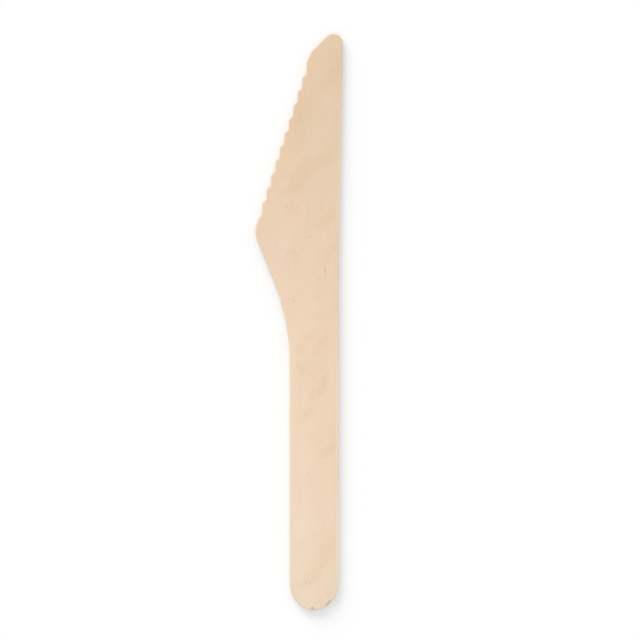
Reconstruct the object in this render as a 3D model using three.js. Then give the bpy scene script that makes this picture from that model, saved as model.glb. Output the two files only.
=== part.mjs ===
// A disposable table knife, stamped in one piece from a flat sheet of birch veneer.
// Millimetres, +Z up. The knife lies flat, with its tip along +Y, its spine on +X and its teeth on -X.
// The origin is at the middle of the knife's box, on the face that it lies on.

import * as THREE from 'three';

// Sheet of veneer, with edges that tumbling has rounded
const THICKNESS = 1.8;
const EDGE_ROUND = 0.3;

// Handle, from the end of its butt to the level of the heel
const HANDLE_LENGTH = 108.9;
const HANDLE_WIDTH = 14;
const BUTT_LENGTH = 8;

// Blade, from the level of the heel to the tip
const BLADE_LENGTH = 56.1;

// Spine, in line with the handle at first, then leaning outward from a little below the heel
const SPINE_BEND_DROP = 11.9;
const SPINE_BEND_RADIUS = 500;
const SPINE_LEAN_DEGREES = 1.1;

// Nose, a round tip with a straight slope down to the belly, where the cutting edge starts
const NOSE_RADIUS = 2.75;
const NOSE_SLOPE_DEGREES = 45;
const NOSE_WIDTH = 9.3;
const BELLY_RADIUS = 7.1;
const BELLY_LAND = 7.45;

// Heel, the corner where the blade is widest, and the neck that narrows from it to the handle
const HEEL_OVERHANG = 10.6;
const HEEL_RADIUS = 7.15;
const NECK_SLOPE_DEGREES = 22.3;
const NECK_RADIUS = 64;

// Teeth, on a straight line that starts above the heel; their two flanks are angled from that line
const EDGE_START_RISE = 7;
const EDGE_START_INSET = 2.57;
const TOOTH_PITCH = 4.186;
const TOOTH_BACK_DEGREES = 14.7;
const TOOTH_FRONT_DEGREES = 28.5;
const TOOTH_BLUNTNESS = 0.1;
const GULLET_RADIUS = 0.25;

// Fineness of the round stretches
const CHORD_ERROR = 0.005;
const EDGE_STEPS = 3;

const BIRCH_COLOUR = 0xebd3b9;
const BIRCH_ROUGHNESS = 0.75;

const { degToRad } = THREE.MathUtils;
const halfHandle = HANDLE_WIDTH / 2;

function at(x, y) {
  return new THREE.Vector2(x, y);
}

// A unit direction that leans to the right of straight up.
function leaning(angle) {
  return at(Math.sin(angle), Math.cos(angle));
}

// The point where two lines cross, each given by a point and a direction.
function crossing(pointA, directionA, pointB, directionB) {
  const between = pointB.clone().sub(pointA);
  const along = between.cross(directionB) / directionA.cross(directionB);
  return pointA.clone().addScaledVector(directionA, along);
}

// The number of straight steps that keep an arc within the chord error.
function arcSteps(radius, turn) {
  const largestStep = 2 * Math.acos(1 - CHORD_ERROR / Math.max(radius, CHORD_ERROR));
  return Math.max(1, Math.ceil(Math.abs(turn) / largestStep));
}

// The spine's line and the nose's sloping line. The round tip touches both, and its top is at the
// end of the blade.
function backOfBlade() {
  const bend = at(halfHandle, HANDLE_LENGTH - SPINE_BEND_DROP);
  const spine = leaning(degToRad(SPINE_LEAN_DEGREES));
  const slope = leaning(degToRad(NOSE_SLOPE_DEGREES));

  const besideSpine = bend.clone().add(at(-spine.y, spine.x).multiplyScalar(NOSE_RADIUS));
  const centreHeight = HANDLE_LENGTH + BLADE_LENGTH - NOSE_RADIUS;
  const centre = crossing(besideSpine, spine, at(0, centreHeight), at(1, 0));
  const onSlope = centre.clone().add(at(-slope.y, slope.x).multiplyScalar(NOSE_RADIUS));
  return { bend, spine, slope, onSlope };
}

// The cutting edge from the nose down to the heel: tips and gullets by turns along the tooth line.
// The top tip lies a plain land below the nose, and teeth follow it as long as the line has room.
function cuttingEdge(back, heel) {
  const start = heel.clone().add(at(EDGE_START_INSET, EDGE_START_RISE));
  const insideSpine = back.bend.clone().sub(at(NOSE_WIDTH, 0));
  const top = crossing(insideSpine, back.spine, back.onSlope, back.slope);
  const down = start.clone().sub(top).normalize();
  const backFlank = down.clone().rotateAround(at(0, 0), degToRad(TOOTH_BACK_DEGREES));
  const frontFlank = down.clone().rotateAround(at(0, 0), -degToRad(TOOTH_FRONT_DEGREES));

  const tipRadius = EDGE_ROUND + TOOTH_BLUNTNESS;
  const gaps = Math.floor((start.distanceTo(top) - BELLY_LAND) / TOOTH_PITCH);
  const topTip = top.clone().addScaledVector(down, BELLY_LAND);
  const gulletAbove = crossing(
    topTip.clone().addScaledVector(down, -TOOTH_PITCH), backFlank, topTip, frontFlank);
  const belly = crossing(gulletAbove, backFlank, back.onSlope, back.slope);

  const corners = [{ sharp: belly, radius: BELLY_RADIUS }];
  for (let tooth = 0; tooth <= gaps; tooth += 1) {
    const shift = down.clone().multiplyScalar(tooth * TOOTH_PITCH);
    corners.push({ sharp: gulletAbove.clone().add(shift), radius: GULLET_RADIUS });
    corners.push({ sharp: topTip.clone().add(shift), radius: tipRadius });
  }
  const lastShift = down.clone().multiplyScalar((gaps + 1) * TOOTH_PITCH);
  corners.push({ sharp: gulletAbove.clone().add(lastShift), radius: GULLET_RADIUS });
  return corners;
}

// The sharp corners of the knife with the radius of each, from the spine side of the butt round the
// blade to the other side of the butt.
function sharpCorners() {
  const back = backOfBlade();
  const tip = crossing(back.bend, back.spine, back.onSlope, back.slope);
  const heel = at(-halfHandle - HEEL_OVERHANG, HANDLE_LENGTH);
  const neckSlope = leaning(-degToRad(NECK_SLOPE_DEGREES));
  const neck = crossing(heel, neckSlope, at(-halfHandle, 0), at(0, 1));
  return [
    { sharp: at(halfHandle, BUTT_LENGTH), radius: 0 },
    { sharp: back.bend, radius: SPINE_BEND_RADIUS },
    { sharp: tip, radius: NOSE_RADIUS },
    ...cuttingEdge(back, heel),
    { sharp: heel, radius: HEEL_RADIUS },
    { sharp: neck, radius: NECK_RADIUS },
    { sharp: at(-halfHandle, BUTT_LENGTH), radius: 0 },
  ];
}

// Each corner between the first and the last becomes an arc. Where two arcs would not both fit on
// the side between them, that side limits their radii.
function roundCorners(corners) {
  const sides = corners.slice(1).map((corner, index) => corner.sharp.clone().sub(corners[index].sharp));
  const bends = sides.slice(1).map((side, index) => {
    const turn = Math.atan2(sides[index].cross(side), sides[index].dot(side));
    const reach = corners[index + 1].radius * Math.tan(Math.abs(turn) / 2);
    return { turn, reach, before: sides[index], after: side, ...corners[index + 1] };
  });
  const reachOf = (index) => bends[index]?.reach ?? 0;
  const shares = sides.map((side, index) => side.length() / (reachOf(index - 1) + reachOf(index)));
  return bends.flatMap((bend, index) => arcAt(bend, Math.min(1, shares[index], shares[index + 1])));
}

// The points of one corner's arc, whose radius is the given share of the wanted one.
function arcAt({ sharp, radius, turn, reach, before }, share) {
  const along = before.clone().normalize();
  const start = sharp.clone().addScaledVector(along, -reach * share);
  const toCentre = at(-along.y, along.x).multiplyScalar(Math.sign(turn) * radius * share);
  const centre = start.clone().add(toCentre);
  const steps = arcSteps(radius * share, turn);
  return Array.from({ length: steps + 1 }, (_, step) =>
    start.clone().rotateAround(centre, turn * step / steps));
}

// The butt of the handle, a half ellipse from its tooth side round to its spine side.
function buttCurve() {
  const curve = new THREE.EllipseCurve(0, BUTT_LENGTH, halfHandle, BUTT_LENGTH, Math.PI, 2 * Math.PI);
  return curve.getPoints(arcSteps(Math.max(halfHandle, BUTT_LENGTH), Math.PI));
}

// The stamped sheet: the outline through the thickness, with quarter-round edges on both faces.
function sheetGeometry() {
  const outline = new THREE.Shape([...buttCurve(), ...roundCorners(sharpCorners())]);
  const geometry = new THREE.ExtrudeGeometry(outline, {
    depth: THICKNESS - 2 * EDGE_ROUND,
    bevelThickness: EDGE_ROUND,
    bevelSize: EDGE_ROUND,
    bevelOffset: -EDGE_ROUND,
    bevelSegments: EDGE_STEPS,
  });
  geometry.computeBoundingBox();
  const { min, max } = geometry.boundingBox;
  geometry.translate(-(min.x + max.x) / 2, -(min.y + max.y) / 2, -min.z);
  return geometry;
}

function birchVeneer() {
  return new THREE.MeshStandardMaterial({
    color: BIRCH_COLOUR,
    roughness: BIRCH_ROUGHNESS,
    metalness: 0,
  });
}

const knife = new THREE.Mesh(sheetGeometry(), birchVeneer());
knife.name = 'knife';

const part = new THREE.Group();
part.add(knife);

export default part;
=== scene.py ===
import math

import bpy
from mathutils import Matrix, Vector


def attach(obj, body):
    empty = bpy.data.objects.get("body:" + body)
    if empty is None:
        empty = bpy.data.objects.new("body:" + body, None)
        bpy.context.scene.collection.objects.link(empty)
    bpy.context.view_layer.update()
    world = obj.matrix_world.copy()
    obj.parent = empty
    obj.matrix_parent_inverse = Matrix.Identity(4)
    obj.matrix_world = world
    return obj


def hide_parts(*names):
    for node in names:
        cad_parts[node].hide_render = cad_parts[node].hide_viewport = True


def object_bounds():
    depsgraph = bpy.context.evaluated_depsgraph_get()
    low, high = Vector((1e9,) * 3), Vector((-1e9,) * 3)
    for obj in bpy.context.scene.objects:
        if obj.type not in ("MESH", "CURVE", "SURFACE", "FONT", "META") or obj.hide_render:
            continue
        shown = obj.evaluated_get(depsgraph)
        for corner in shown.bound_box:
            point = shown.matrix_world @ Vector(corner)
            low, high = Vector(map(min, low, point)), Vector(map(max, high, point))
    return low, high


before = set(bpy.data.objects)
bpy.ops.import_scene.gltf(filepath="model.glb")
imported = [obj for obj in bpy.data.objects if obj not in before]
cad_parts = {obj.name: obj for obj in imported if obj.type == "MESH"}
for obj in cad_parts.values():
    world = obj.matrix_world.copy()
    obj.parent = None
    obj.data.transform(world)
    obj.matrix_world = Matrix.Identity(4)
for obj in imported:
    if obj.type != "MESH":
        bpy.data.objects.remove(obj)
cad_low, cad_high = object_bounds()


# Camera
# The knife is seen from straight above through a long lens, tip upwards. The picture is square, and
# the knife lies a little to the left of its middle.
PICTURE_WIDTH = 0.183
PICTURE_CENTRE = (0.00598, 0.00057)
LENS_MM = 200.0
SENSOR_MM = 36.0
NEAREST_SEEN = 0.01
FARTHEST_SEEN = 20.0

camera_data = bpy.data.cameras.new("camera")
camera_data.lens = LENS_MM
camera_data.sensor_width = SENSOR_MM
camera_data.clip_start = NEAREST_SEEN
camera_data.clip_end = FARTHEST_SEEN
camera = bpy.data.objects.new("camera", camera_data)
camera.location = (*PICTURE_CENTRE, cad_high.z + PICTURE_WIDTH * LENS_MM / SENSOR_MM)
bpy.context.scene.collection.objects.link(camera)
bpy.context.scene.camera = camera


# Knife
# One flat piece of bare birch, stamped with a steel die from a sheet of peeled veneer and then tumbled.
# The die leaves its edge a little uneven, with darker cut fibres. The faces keep the veneer's faint
# swell, its ridges along the fibres, and the soft brown bands of figure that cross it.
MERGE_WITHIN = 0.000001
FLAT_WITHIN = math.radians(0.1)
RIM_BAND = 0.00006
GRID_ALONG = 0.0006
GRID_ACROSS = 0.00025
ALONG = (0, 1, 0)
ACROSS = (1, 0, 0)


def open_for_editing(piece):
    """Opens the piece, and nothing else, for editing with all of its vertices selected."""
    bpy.ops.object.select_all(action="DESELECT")
    piece.select_set(True)
    bpy.context.view_layer.objects.active = piece
    bpy.ops.object.mode_set(mode="EDIT")
    bpy.ops.mesh.select_mode(type="VERT")
    bpy.ops.mesh.select_all(action="SELECT")


def close_editing():
    bpy.ops.object.mode_set(mode="OBJECT")


def select_vertices(piece, wanted):
    """Opens the piece for editing with only the wanted vertices selected."""
    open_for_editing(piece)
    bpy.ops.mesh.select_all(action="DESELECT")
    close_editing()
    for vertex in piece.data.vertices:
        vertex.select = wanted(vertex)
    bpy.ops.object.mode_set(mode="EDIT")


def cut_into_strips(low, high, width, direction):
    """Cuts the mesh that is being edited by even planes that face along the direction."""
    strips = math.ceil((high - low) / width)
    for cut in range(1, strips):
        place = low + (high - low) * cut / strips
        bpy.ops.mesh.select_all(action="SELECT")
        bpy.ops.mesh.bisect(plane_co=[place * part for part in direction], plane_no=direction)


knife = bpy.data.objects.new("birch_knife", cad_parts["knife"].data.copy())
bpy.context.scene.collection.objects.link(knife)
knife.data.materials.clear()

open_for_editing(knife)
bpy.ops.mesh.remove_doubles(threshold=MERGE_WITHIN)
bpy.ops.mesh.dissolve_limited(angle_limit=FLAT_WITHIN)
close_editing()

# A narrow band inside the rim of both flat faces keeps the rounding of the edge apart from them
select_vertices(knife, lambda vertex: vertex.co.z in (cad_low.z, cad_high.z))
bpy.ops.mesh.inset(thickness=RIM_BAND)
cut_into_strips(cad_low.y, cad_high.y, GRID_ALONG, ALONG)
cut_into_strips(cad_low.x, cad_high.x, GRID_ACROSS, ACROSS)
close_editing()

# Wear on the cut edge and relief on the peeled faces, in lumps of a size along X, Y and Z
CUT_EDGE = "cut_edge"
PEELED_FACES = "peeled_faces"
EDGE_NORMAL_Z = 0.95
DIE_WEAR = {"lump": (0.005, 0.005, 0.02), "depth": 0.00004}
TORN_FIBRES = {"lump": (0.0011, 0.0011, 0.0007), "depth": 0.00003}
VENEER_SWELL = {"lump": (0.018, 0.03, 0.05), "depth": 0.00006}
FIBRE_RIDGES = {"lump": (0.0006, 0.02, 0.01), "depth": 0.000012}


def lies_on_edge(vertex):
    return abs(vertex.normal.z) < EDGE_NORMAL_Z


def mark_group(piece, group, wanted):
    """Makes a vertex group of the wanted vertices."""
    select_vertices(piece, wanted)
    piece.vertex_groups.new(name=group)
    bpy.ops.object.vertex_group_assign()
    close_editing()


def press_in(piece, group, name, lump, depth):
    """Presses a group's surface in by up to the depth, and never out."""
    texture = bpy.data.textures.new(name, "CLOUDS")
    texture.noise_scale = 1.0
    texture.noise_depth = 1
    ruler = bpy.data.objects.new(name, None)
    ruler.scale = lump
    bpy.context.scene.collection.objects.link(ruler)
    bpy.context.view_layer.update()
    pressing = piece.modifiers.new(name, "DISPLACE")
    pressing.texture = texture
    pressing.texture_coords = "OBJECT"
    pressing.texture_coords_object = ruler
    pressing.vertex_group = group
    pressing.strength = depth
    pressing.mid_level = 1.0
    bpy.ops.object.modifier_apply(modifier=name)
    bpy.data.objects.remove(ruler)
    bpy.data.textures.remove(texture)


mark_group(knife, CUT_EDGE, lies_on_edge)
mark_group(knife, PEELED_FACES, lambda vertex: not lies_on_edge(vertex))
press_in(knife, CUT_EDGE, "die_wear", **DIE_WEAR)
press_in(knife, CUT_EDGE, "torn_fibres", **TORN_FIBRES)
press_in(knife, PEELED_FACES, "veneer_swell", **VENEER_SWELL)
press_in(knife, PEELED_FACES, "fibre_ridges", **FIBRE_RIDGES)

# Two broken places in the butt's upper rim: a small nick at its end, and a splinter torn off beside it
NICK = {
    "place": (0.00385, -0.0822, 0.00188),
    "half_size": (0.00042, 0.0007, 0.0004),
    "turn": math.radians(6),
}
SPLINTER = {
    "place": (0.00855, -0.0807, 0.0019),
    "half_size": (0.0017, 0.0007, 0.0007),
    "turn": math.radians(40),
}
CHIP_FINENESS = 3
SMOOTH_BELOW = math.radians(40)


def break_out(piece, name, place, half_size, turn):
    """Takes a rounded chip out of the piece."""
    bpy.ops.mesh.primitive_ico_sphere_add(
        subdivisions=CHIP_FINENESS, calc_uvs=False, location=place, rotation=(0, 0, turn))
    chip = bpy.context.active_object
    chip.scale = half_size
    breaking = piece.modifiers.new(name, "BOOLEAN")
    breaking.operation = "DIFFERENCE"
    breaking.object = chip
    piece.select_set(True)
    bpy.context.view_layer.objects.active = piece
    bpy.ops.object.modifier_apply(modifier=name)
    bpy.data.objects.remove(chip)


break_out(knife, "nick", **NICK)
break_out(knife, "splinter", **SPLINTER)
bpy.ops.object.shade_smooth_by_angle(angle=SMOOTH_BELOW)

# The birch is solid all through: its grain and its marks are laid out in millimetres in the knife's frame
MM_PER_METRE = 1000.0
SHARE = (0.0, 1.0)
# A colour mix's own sockets, which have the same names as those for other kinds of value
MIX_SHARE = 0
MIX_FIRST = 6
MIX_SECOND = 7
MIX_RESULT = 2

birch = bpy.data.materials.new("birch_veneer")
birch.use_nodes = True
knife.data.materials.append(birch)
birch_shader = birch.node_tree.nodes["Principled BSDF"]
wood = birch.node_tree


def set_socket(socket, value):
    """Links the socket where the value is another node's output, and otherwise sets it."""
    if isinstance(value, bpy.types.NodeSocket):
        socket.id_data.links.new(value, socket)
    else:
        socket.default_value = value


def add_node(tree, kind, settings=None, **sockets):
    """A new node with its settings, and its sockets named with an underscore for each space."""
    node = tree.nodes.new("ShaderNode" + kind)
    for name, value in (settings or {}).items():
        setattr(node, name, value)
    for name, value in sockets.items():
        set_socket(node.inputs[name.replace("_", " ")], value)
    return node


def add_operation(tree, kind, operation, values):
    node = add_node(tree, kind, {"operation": operation})
    for socket, value in zip(node.inputs, values):
        set_socket(socket, value)
    return node


def calculate(tree, operation, *values):
    return add_operation(tree, "Math", operation, values).outputs["Value"]


def calculate_vector(tree, operation, *values):
    return add_operation(tree, "VectorMath", operation, values).outputs["Vector"]


def multiply_vector(tree, vector, by):
    """A place or a colour times one number."""
    node = add_node(tree, "VectorMath", {"operation": "SCALE"}, Vector=vector, Scale=by)
    return node.outputs["Vector"]


def split_vector(tree, vector):
    return add_node(tree, "SeparateXYZ", None, Vector=vector).outputs


def rescale(tree, value, span, to, curve="LINEAR"):
    """The value moved from one span of low and high to another, and held within it."""
    node = add_node(tree, "MapRange", {"interpolation_type": curve}, Value=value)
    ends = {"From Min": span[0], "From Max": span[1], "To Min": to[0], "To Max": to[1]}
    for name, end in ends.items():
        node.inputs[name].default_value = end
    return node.outputs["Result"]


def mix_colours(tree, blend, share, first, second):
    node = add_node(tree, "Mix", {"data_type": "RGBA", "blend_type": blend, "clamp_factor": True})
    set_socket(node.inputs[MIX_SHARE], share)
    set_socket(node.inputs[MIX_FIRST], first)
    set_socket(node.inputs[MIX_SECOND], second)
    return node.outputs[MIX_RESULT]


def tint(tree, share, colour, by):
    """The colour multiplied by a tint, as much as the share says."""
    return mix_colours(tree, "MULTIPLY", share, colour, by)


def noise(tree, where, lump, detail=2.0, roughness=0.5, turn=0.0):
    """Soft noise in lumps of about the given size along X, Y and Z, turned about Z."""
    lumps = add_node(tree, "Mapping", {"vector_type": "TEXTURE"}, Vector=where, Scale=lump)
    set_socket(lumps.inputs["Rotation"], (0.0, 0.0, turn))
    cloud = add_node(tree, "TexNoise", None, Vector=lumps.outputs["Vector"], Scale=1.0)
    set_socket(cloud.inputs["Detail"], detail)
    set_socket(cloud.inputs["Roughness"], roughness)
    return cloud.outputs["Fac"]


surface = add_node(wood, "TexCoord").outputs
place = multiply_vector(wood, surface["Object"], MM_PER_METRE)
place_axes = split_vector(wood, place)

# The fibres wander a little from side to side on their way along the knife
WANDER_LUMP = (9.0, 34.0, 6.0)
WANDER_REACH = (-1.2, 1.2)
NEARLY_ALL_NOISE = (0.2, 0.8)

wander = rescale(wood, noise(wood, place, WANDER_LUMP), NEARLY_ALL_NOISE, WANDER_REACH)
sideways = add_node(wood, "CombineXYZ", None, X=wander)
fibre_place = calculate_vector(wood, "ADD", place, sideways.outputs["Vector"])


# Cream on the handle and a warmer tan towards the tip, and paler on the teeth's side than on the spine's
def from_screen(red, green, blue):
    """A colour as a screen shows it, each channel from 0 to 255, made linear."""
    shares = [channel / 255 for channel in (red, green, blue)]
    linear = [s / 12.92 if s <= 0.04045 else ((s + 0.055) / 1.055) ** 2.4 for s in shares]
    return (*linear, 1.0)


BUTT_TO_TIP = [
    (0.00, from_screen(234, 213, 188)),
    (0.20, from_screen(237, 213, 187)),
    (0.45, from_screen(236, 211, 184)),
    (0.62, from_screen(234, 208, 181)),
    (0.72, from_screen(232, 206, 178)),
    (0.82, from_screen(230, 204, 176)),
    (1.00, from_screen(229, 203, 174)),
]
TEETH_SIDE = (1.045, 1.05, 1.07, 1.0)
SPINE_SIDE = (0.995, 0.985, 0.962, 1.0)
TEETH_SIDE_START = 1 / 3
HANDLE_TO_BLADE = (0.4, 0.62)
SIDE_SHARES = (1.0, 0.5)
half_width = cad_high.x * MM_PER_METRE
half_length = cad_high.y * MM_PER_METRE

along = rescale(wood, place_axes["Y"], (-half_length, half_length), SHARE)
across = rescale(wood, place_axes["X"], (-half_width * TEETH_SIDE_START, half_width), SHARE)
length_ramp = add_node(wood, "ValToRGB", None, Fac=along)
stops = length_ramp.color_ramp.elements
stops.remove(stops[0])
for stop, stop_colour in BUTT_TO_TIP[:-1]:
    stops.new(stop).color = stop_colour
stops[-1].color = BUTT_TO_TIP[-1][1]
side_tint = mix_colours(wood, "MIX", across, TEETH_SIDE, SPINE_SIDE)
side_share = rescale(wood, along, HANDLE_TO_BLADE, SIDE_SHARES)
colour = tint(wood, side_share, length_ramp.outputs["Color"], side_tint)

# Marks on the upper face are soft ellipses, each drawn by one group with its own place and size
MARK_DEPTH = 1.0
RAGGED_EDGE = {"lump": (2.0, 3.6, 3.0), "detail": 3.0}
RAGGED_REACH = (-1.5, 1.5)
MOST_NOISE = (0.25, 0.75)

spot_group = bpy.data.node_groups.new("soft_spot", "ShaderNodeTree")
for socket_name in ("Place", "Centre", "Tilt", "Size"):
    spot_group.interface.new_socket(socket_name, in_out="INPUT", socket_type="NodeSocketVector")
spot_group.interface.new_socket("Mask", in_out="OUTPUT", socket_type="NodeSocketFloat")
spot_in = spot_group.nodes.new("NodeGroupInput").outputs
spot_out = spot_group.nodes.new("NodeGroupOutput").inputs
ellipse = add_node(spot_group, "Mapping", {"vector_type": "TEXTURE"}, Vector=spot_in["Place"])
set_socket(ellipse.inputs["Location"], spot_in["Centre"])
set_socket(ellipse.inputs["Rotation"], spot_in["Tilt"])
set_socket(ellipse.inputs["Scale"], spot_in["Size"])
from_middle = add_operation(spot_group, "VectorMath", "LENGTH", [ellipse.outputs["Vector"]])
fading = rescale(spot_group, from_middle.outputs["Value"], SHARE, (1.0, 0.0), "SMOOTHERSTEP")
set_socket(spot_out["Mask"], fading)

ragged = rescale(wood, noise(wood, place, **RAGGED_EDGE), MOST_NOISE, RAGGED_REACH)
ragged_shift = add_node(wood, "CombineXYZ", None, X=ragged, Y=ragged)
band_place = calculate_vector(wood, "ADD", place, ragged_shift.outputs["Vector"])


def add_spots(where, spots):
    """The summed mask of spots, each as x, y, half length and half width in millimetres, its clockwise
    tilt in degrees, and its strength."""
    total = 0.0
    for x, y, half_long, half_wide, tilt, strength in spots:
        spot = wood.nodes.new("ShaderNodeGroup")
        spot.node_tree = spot_group
        set_socket(spot.inputs["Place"], where)
        set_socket(spot.inputs["Centre"], (x, y, cad_high.z * MM_PER_METRE))
        set_socket(spot.inputs["Tilt"], (0.0, 0.0, -math.radians(tilt)))
        set_socket(spot.inputs["Size"], (half_wide, half_long, MARK_DEPTH))
        total = calculate(wood, "MULTIPLY_ADD", spot.outputs["Mask"], strength, total)
    return total


# Brown bands of figure, broken into streaks along the fibres
FIGURE_BANDS = [
    (-2.3, 32.3, 3.8, 3.2, 20, 0.5),
    (-3.0, 4.5, 4.0, 2.5, -10, 0.4),
    (1.2, -8.0, 4.5, 3.0, 35, 0.5),
    (3.0, -73.8, 6.5, 2.8, 50, 0.5),
    (1.1, 60.1, 17.2, 5.8, 22, 0.6),
    (0.0, 41.0, 11.5, 4.2, 25, 0.68),
    (10.0, 71.5, 5.8, 3.8, 10, 0.52),
    (7.1, 46.6, 6.4, 3.2, 52, 0.6),
    (7.6, 29.0, 6.5, 3.0, 50, 0.52),
    (-1.7, 19.4, 3.2, 2.9, 10, 0.6),
    (9.7, 20.6, 3.7, 2.6, 30, 0.45),
    (6.5, -6.3, 6.0, 2.6, 40, 0.45),
    (0.8, -12.6, 3.2, 3.5, 25, 0.68),
    (5.8, -19.2, 7.4, 2.7, 28, 0.68),
    (4.0, -14.3, 9.2, 4.8, 35, 0.3),
    (1.7, -26.9, 4.6, 2.7, 38, 0.52),
    (8.0, -37.0, 5.6, 2.9, 48, 0.6),
    (7.1, -66.9, 9.9, 4.0, 30, 0.6),
    (-0.6, -77.5, 3.2, 1.8, -30, 0.5),
    (8.6, -77.6, 2.6, 1.5, 30, 0.45),
    (0.8, 52.0, 3.6, 2.0, 10, 0.4),
    (3.7, -3.5, 4.4, 2.2, 42, 0.4),
]
FIGURE_TINT = (0.945, 0.90, 0.82, 1.0)
STREAKS = {"lump": (0.55, 30.0, 0.5), "detail": 4.0, "roughness": 0.6}
STREAK_NOISE = (0.3, 0.7)
STREAKED_FIGURE = (0.55, 1.25)

streaks = noise(wood, fibre_place, **STREAKS)
streaked = rescale(wood, streaks, STREAK_NOISE, STREAKED_FIGURE)
figure = calculate(wood, "MULTIPLY", add_spots(band_place, FIGURE_BANDS), streaked)
colour = tint(wood, figure, colour, FIGURE_TINT)

# Broad patches where the sapwood is warmer or paler
WARM_PATCHES = [
    (5.2, -31.5, 11.0, 3.2, 8, 0.5),
    (7.7, 66.3, 5.0, 3.0, 20, 0.6),
    (7.2, 79.6, 4.5, 2.2, 45, 0.9),
    (-4.4, 53.0, 25.0, 4.6, 16, 0.5),
    (-2.3, 48.0, 6.0, 3.4, 20, 0.8),
    (-9.0, 29.5, 8.0, 3.0, 0, 0.35),
    (4.5, 74.0, 8.0, 4.0, 40, 0.7),
    (10.0, 71.5, 4.5, 3.0, 10, 0.6),
]
PALE_PATCHES = [
    (9.0, -51.5, 9.0, 4.5, 0, 0.7),
    (0.5, -38.0, 6.0, 2.6, 5, 0.7),
    (1.2, -59.5, 14.0, 4.2, 5, 1.0),
    (4.1, -42.9, 1.8, 0.8, 5, 0.8),
    (7.4, 54.9, 9.0, 3.2, 25, 0.6),
    (-4.0, 23.4, 8.0, 4.0, 15, 0.5),
    (0.3, 3.4, 9.0, 4.0, 10, 0.5),
    (10.2, -11.0, 13.0, 3.4, 0, 0.8),
]
WARM_TINT = (1.0, 0.975, 0.93, 1.0)
PALE_TINT = (1.012, 1.022, 1.05, 1.0)

colour = tint(wood, add_spots(band_place, WARM_PATCHES), colour, WARM_TINT)
colour = tint(wood, add_spots(band_place, PALE_PATCHES), colour, PALE_TINT)

# Short dark flecks, pale flecks beside them, painted highlight along the spine's rim, and painted shade
# in the broken places
DARK_FLECKS = [
    (7.5, 14.7, 1.6, 0.42, -8, 1.5),
    (-1.5, 6.0, 1.3, 0.45, -30, 1.0),
    (5.3, 12.2, 1.8, 0.6, 20, 0.3),
    (3.1, 24.3, 1.7, 0.5, 68, 0.5),
    (-3.6, 33.2, 1.1, 0.28, 0, 0.5),
    (7.1, -16.0, 1.5, 0.4, 12, 0.5),
    (5.9, -19.9, 1.1, 0.4, 10, 0.6),
    (4.1, -22.0, 1.5, 0.4, 5, 0.5),
    (1.9, -26.3, 1.0, 0.4, 10, 0.5),
    (9.9, -35.2, 1.0, 0.4, 20, 0.45),
    (6.9, -38.3, 0.9, 0.4, 20, 0.45),
    (2.9, -43.2, 1.2, 0.4, 15, 0.6),
    (3.5, -46.9, 0.9, 0.4, 0, 0.5),
    (1.4, -68.1, 1.8, 0.35, 5, 0.5),
    (6.6, -69.8, 1.2, 0.45, 20, 0.6),
    (1.9, -74.6, 0.9, 0.35, 0, 0.9),
    (3.0, -74.6, 0.9, 0.35, 0, 0.9),
    (-11.3, 29.4, 0.6, 0.4, 25, 0.8),
    (3.2, -82.0, 0.8, 0.35, 85, 0.6),
]
PALE_FLECKS = [
    (6.45, 14.0, 2.6, 0.45, 11, 0.45),
    (-1.2, 5.3, 0.9, 0.45, -30, 0.27),
    (6.9, -70.5, 1.4, 0.4, 15, 0.27),
    (-3.2, 33.2, 0.9, 0.25, 0, 0.27),
    (3.6, -80.8, 0.9, 0.4, 0, 0.55),
    (2.0, -57.0, 0.8, 0.3, 0, 0.4),
    (7.5, -80.2, 0.8, 0.5, 40, 0.32),
]
# Painted highlight: pale strips along the spine's rim, which faces away from the lamp
SPINE_RIM_HIGHLIGHTS = [
    (11.65, 46.0, 38.0, 0.9, 1, 0.5),
    (10.95, -24.0, 34.0, 0.5, 0, 0.6),
    (11.0, -62.0, 24.0, 0.5, 0, 1.2),
]
# Painted shade in the nick and the splinter at the butt, on top of the shade that their hollows cast
BROKEN_PLACE_SHADES = [
    (3.83, -81.8, 0.9, 0.5, 0, 0.9),
    (8.5, -80.4, 2.0, 0.8, 39, 1.1),
]
DARK_TINT = (0.86, 0.83, 0.79, 1.0)
PALE_FLECK_AND_HIGHLIGHT_TINT = (1.12, 1.14, 1.18, 1.0)
BROKEN_PLACE_SHADE_TINT = (0.80, 0.82, 0.86, 1.0)

colour = tint(wood, add_spots(place, DARK_FLECKS), colour, DARK_TINT)
# Pale flecks in the wood, and the painted highlight along the spine's rim
colour = tint(wood, add_spots(place, PALE_FLECKS + SPINE_RIM_HIGHLIGHTS), colour, PALE_FLECK_AND_HIGHLIGHT_TINT)
# Painted shade in the broken places
colour = tint(wood, add_spots(place, BROKEN_PLACE_SHADES), colour, BROKEN_PLACE_SHADE_TINT)

# The underside has figure of its own, in ragged bands that run the same way
FIGURE_SLANT = math.radians(38)
UNDER_FIGURE = {"lump": (2.6, 8.0, 4.0), "detail": 3.0, "turn": -FIGURE_SLANT}
UNDER_NOISE = (0.52, 0.68)
UNDER_STRENGTH = (0.0, 0.55)
UNDER_HEIGHT = (0.9, 0.3)

under_field = noise(wood, place, **UNDER_FIGURE)
under_bands = rescale(wood, under_field, UNDER_NOISE, UNDER_STRENGTH, "SMOOTHSTEP")
under_share = rescale(wood, place_axes["Z"], UNDER_HEIGHT, SHARE)
colour = tint(wood, calculate(wood, "MULTIPLY", under_bands, under_share), colour, FIGURE_TINT)

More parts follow.
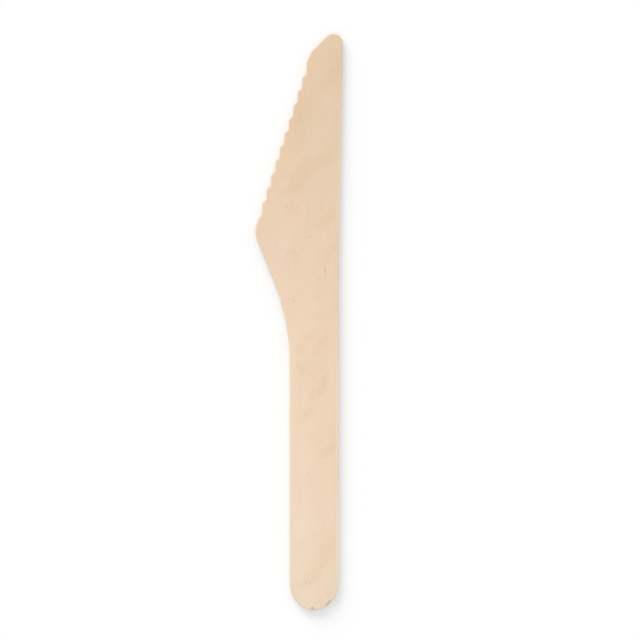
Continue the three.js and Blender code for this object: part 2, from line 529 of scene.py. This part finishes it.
# Drifts of tone, growth bands, fibres and pores go through the whole sheet, from broad to fine
DRIFT = {"lump": (2.2, 7.0, 4.0), "detail": 3.0, "turn": -FIGURE_SLANT}
GROWTH_BANDS = {"lump": (5.0, 60.0, 1.2), "detail": 3.0}
FIBRES = {"lump": (0.12, 4.0, 0.12), "detail": 3.0, "roughness": 0.6}
PORES = {"lump": (0.10, 1.3, 0.10), "detail": 1.0}
HUES = {"lump": (4.0, 6.0, 4.0), "detail": 2.0}
DRIFT_LEVELS = (0.987, 1.013)
BAND_LEVELS = (0.992, 1.008)
STREAK_LEVELS = (0.986, 1.014)
FIBRE_LEVELS = (0.976, 1.024)
PORE_LEVELS = (1.0, 0.94)
PORE_NOISE = (0.62, 0.74)
PINKER_NOISE = (0.5, 0.68)
GREENER_NOISE = (0.5, 0.32)
PINKER = (1.004, 0.982, 0.990, 1.0)
GREENER = (0.994, 1.000, 0.984, 1.0)

drift = noise(wood, place, **DRIFT)
bands = noise(wood, fibre_place, **GROWTH_BANDS)
fibres = noise(wood, fibre_place, **FIBRES)
pores = rescale(wood, noise(wood, fibre_place, **PORES), PORE_NOISE, SHARE, "SMOOTHSTEP")

level = rescale(wood, drift, MOST_NOISE, DRIFT_LEVELS)
for layer, levels in [(bands, BAND_LEVELS), (streaks, STREAK_LEVELS), (fibres, FIBRE_LEVELS)]:
    level = calculate(wood, "MULTIPLY", level, rescale(wood, layer, MOST_NOISE, levels))
level = calculate(wood, "MULTIPLY", level, rescale(wood, pores, SHARE, PORE_LEVELS))
hue = noise(wood, place, **HUES)
colour = tint(wood, rescale(wood, hue, PINKER_NOISE, SHARE), colour, PINKER)
colour = tint(wood, rescale(wood, hue, GREENER_NOISE, SHARE), colour, GREENER)
colour = multiply_vector(wood, colour, level)

# Cut fibres round the edge are darker, most of all across the grain. The rim carries a painted highlight
# where it faces the spine and the butt, away from the lamp, and painted shade where it faces the teeth
# and the tip
LONG_CUT_TINT = (0.83, 0.84, 0.87, 1.0)
END_CUT_TINT = (0.88, 0.85, 0.82, 1.0)
RIM_HIGHLIGHT_TINT = (1.16, 1.20, 1.25, 1.0)
RIM_SHADE_TINT = (0.85, 0.90, 0.97, 1.0)
RIM_FLATNESS = (0.97, 0.75)
WALL_FLATNESS = (0.6, 0.1)
ENDWISE = (0.3, 0.9)
TO_SPINE_AND_BUTT = (0.0, 0.5)
TO_TEETH_AND_TIP = (0.0, -0.5)
WALL_FIBRE_LEVELS = (-0.08, 0.08)
PALEST = 0.96

facing = split_vector(wood, surface["Normal"])
flatness = calculate(wood, "ABSOLUTE", facing["Z"])
rim = rescale(wood, flatness, RIM_FLATNESS, SHARE, "SMOOTHSTEP")
cut_wall = rescale(wood, flatness, WALL_FLATNESS, SHARE, "SMOOTHSTEP")
endwise = rescale(wood, calculate(wood, "ABSOLUTE", facing["Y"]), ENDWISE, SHARE)
outward = calculate(wood, "SUBTRACT", facing["X"], facing["Y"])
# Painted highlight on the rim that faces the spine and the butt, and painted shade on the rim that faces
# the teeth and the tip
rim_highlight = calculate(wood, "MULTIPLY", rim, rescale(wood, outward, TO_SPINE_AND_BUTT, SHARE))
rim_shade = calculate(wood, "MULTIPLY", rim, rescale(wood, outward, TO_TEETH_AND_TIP, SHARE))
colour = tint(wood, rim_highlight, colour, RIM_HIGHLIGHT_TINT)
colour = tint(wood, rim_shade, colour, RIM_SHADE_TINT)
colour = tint(wood, cut_wall, colour, LONG_CUT_TINT)
colour = tint(wood, calculate(wood, "MULTIPLY", cut_wall, endwise), colour, END_CUT_TINT)

wall_fibres = rescale(wood, fibres, MOST_NOISE, WALL_FIBRE_LEVELS)
wall_level = calculate(wood, "MULTIPLY_ADD", cut_wall, wall_fibres, 1.0)
colour = multiply_vector(wood, colour, wall_level)
colour = calculate_vector(wood, "MINIMUM", colour, (PALEST, PALEST, PALEST))
set_socket(birch_shader.inputs["Base Color"], colour)

# Bare wood is matt, and its fibres stand a little above its pores
ROUGHNESS = (0.6, 0.75)
GLOSS_LEVEL = 0.3
RELIEF_DEPTH = 0.00002
RELIEF_STRENGTH = 0.6

set_socket(birch_shader.inputs["Roughness"], rescale(wood, fibres, NEARLY_ALL_NOISE, ROUGHNESS))
birch_shader.inputs["Specular IOR Level"].default_value = GLOSS_LEVEL
relief = calculate(wood, "SUBTRACT", fibres, pores)
bump = add_node(wood, "Bump", None, Height=relief, Distance=RELIEF_DEPTH, Strength=RELIEF_STRENGTH)
set_socket(birch_shader.inputs["Normal"], bump.outputs["Normal"])

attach(knife, "root")
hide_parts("knife")


# Floor
# A white sheet under the knife, wide enough to fill every view, which takes the knife's soft shadow.
# It is lit a little past white where it is seen, so that the shadow fades out close to the knife.
FLOOR_WIDTH = 8.0
FLOOR_WHITE = (0.88, 0.88, 0.88, 1.0)
FLOOR_LIFT = 0.128
WHITE = (1.0, 1.0, 1.0, 1.0)


def seen_share(tree):
    """1 for what is seen straight, in a mirror or through glass, and 0 for what only gives light."""
    ray = add_node(tree, "LightPath").outputs
    seen = calculate(tree, "MAXIMUM", ray["Is Camera Ray"], ray["Is Glossy Ray"])
    return calculate(tree, "MAXIMUM", seen, ray["Is Transmission Ray"])


bpy.ops.mesh.primitive_plane_add(size=FLOOR_WIDTH)
floor = bpy.context.active_object
floor.name = "floor"
floor_paint = bpy.data.materials.new("floor_white")
floor_paint.use_nodes = True
floor_shader = floor_paint.node_tree.nodes["Principled BSDF"]
floor_shader.inputs["Base Color"].default_value = FLOOR_WHITE
floor_shader.inputs["Roughness"].default_value = 1.0
floor_shader.inputs["Specular IOR Level"].default_value = 0.0
floor_shader.inputs["Emission Color"].default_value = WHITE
floor_seen = seen_share(floor_paint.node_tree)
floor_lift = calculate(floor_paint.node_tree, "MULTIPLY", floor_seen, FLOOR_LIFT)
set_socket(floor_shader.inputs["Emission Strength"], floor_lift)
floor.data.materials.append(floor_paint)


# Light
# A bright room all round, slightly cool, and one large soft lamp, slightly warm, that stands low on the
# left beyond the tip. Together they light the floor with plain white at full level.
ROOM_LEVEL = 0.80
ROOM_TINT = (0.970, 1.0, 1.015, 1.0)
LAMP_LEVEL = 0.20
LAMP_TINT = (1.12, 1.0, 0.94)
LAMP_WIDTH = math.radians(42)
LAMP_TILT = math.radians(72)
LAMP_TURN = math.radians(28)

world = bpy.data.worlds.new("white_room")
world.use_nodes = True
bpy.context.scene.world = world
room = world.node_tree
room_light = room.nodes["Background"].inputs
room_seen = seen_share(room)
room_unseen = calculate(room, "SUBTRACT", 1.0, room_seen)
set_socket(room_light["Color"], tint(room, room_unseen, WHITE, ROOM_TINT))
set_socket(room_light["Strength"], rescale(room, room_seen, SHARE, (ROOM_LEVEL, 1.0)))

lamp_data = bpy.data.lights.new("soft_lamp", "SUN")
lamp_data.energy = LAMP_LEVEL * math.pi / math.cos(LAMP_TILT)
lamp_data.angle = LAMP_WIDTH
lamp_data.color = LAMP_TINT
lamp = bpy.data.objects.new("soft_lamp", lamp_data)
lamp.rotation_euler = (-LAMP_TILT, 0.0, LAMP_TURN)
bpy.context.scene.collection.objects.link(lamp)

bpy.context.scene.view_settings.view_transform = "Standard"
